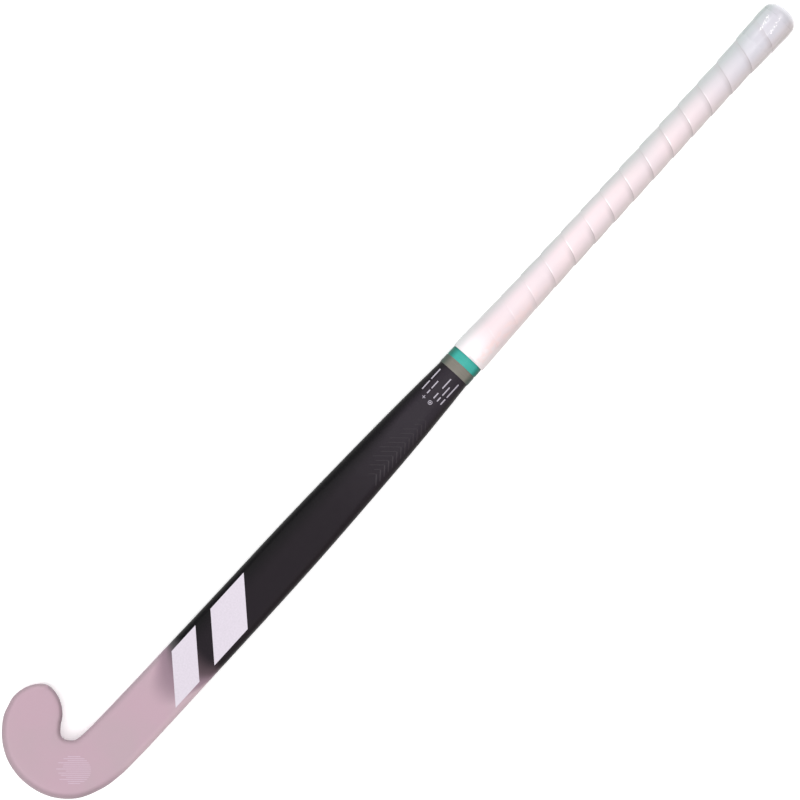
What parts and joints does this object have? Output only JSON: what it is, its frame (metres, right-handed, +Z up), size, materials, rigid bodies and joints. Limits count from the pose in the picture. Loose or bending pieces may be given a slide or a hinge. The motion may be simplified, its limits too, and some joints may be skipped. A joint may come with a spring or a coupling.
{
  "type": "field hockey stick",
  "caption": "Composite field hockey stick with a curved hook head, flat playing face, rounded bowed shaft, tape bands and a spiral wound cushion grip.",
  "frame": {"origin": "middle of the bounding box at the surface that the stick lies on", "axes": "+X runs along the handle from the head to the butt, +Y to the side that the toe of the hook points to, +Z up, with the flat playing face up and tilted about 15 degrees, as the stick lies on its rounded back"},
  "size_m": [0.9276, 0.1158, 0.051],
  "materials": {
    "painted_laminate": "satin",
    "head_core_resin": "matte",
    "aramid_cloth": "satin",
    "core_foam": "matte",
    "bare_laminate": "satin",
    "plug_plastic": "matte",
    "cap_rubber": "satin",
    "grey_tape": "satin",
    "teal_tape": "satin",
    "grip_cushion": "matte"
  },
  "bodies": {
    "root": {"stick_shell": "painted_laminate", "head_core": "head_core_resin", "heel_ply": "aramid_cloth", "shaft_core_toe_side": "core_foam", "shaft_core_heel_side": "core_foam", "centre_rib": "bare_laminate", "butt_plug": "plug_plastic", "butt_cap": "cap_rubber", "collar_tape": "grey_tape", "finishing_tape": "teal_tape", "grip_wrap": "grip_cushion"}
  },
  "joints": []
}
